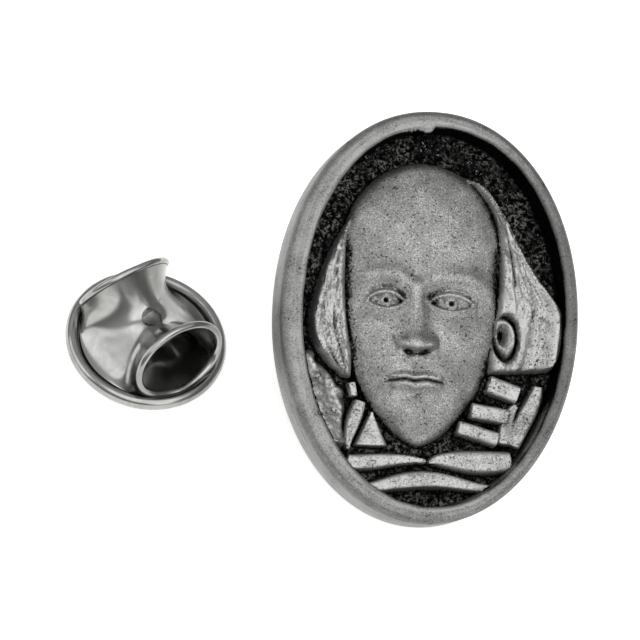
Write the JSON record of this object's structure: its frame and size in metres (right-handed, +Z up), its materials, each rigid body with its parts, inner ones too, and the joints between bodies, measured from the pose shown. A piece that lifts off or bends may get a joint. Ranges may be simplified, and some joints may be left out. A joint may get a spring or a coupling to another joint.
{
  "type": "oval portrait lapel pin with butterfly clutch",
  "caption": "Oval cast badge with a raised head in long hair and a pleated collar, on a tack post, with its butterfly clutch lying beside it.",
  "frame": {"origin": "centre of the whole part's box on the surface that it rests on", "axes": "+X from the clutch towards the badge, +Y from the badge's foot towards the head's crown, +Z up"},
  "size_m": [0.034, 0.0266, 0.0159],
  "materials": {
    "antiqued_pewter": "cast pewter, tumbled on the raised areas, with black antiquing left in the recesses",
    "plated_steel": "bright nickel plate on turned steel",
    "polished_nickel": "polished nickel plate on pressed brass sheet"
  },
  "bodies": {
    "root": {"portrait_casting": "antiqued_pewter", "tack_post": "plated_steel", "clutch_plate": "polished_nickel", "clutch_wings": "polished_nickel", "grip_spring": "polished_nickel"}
  },
  "joints": []
}
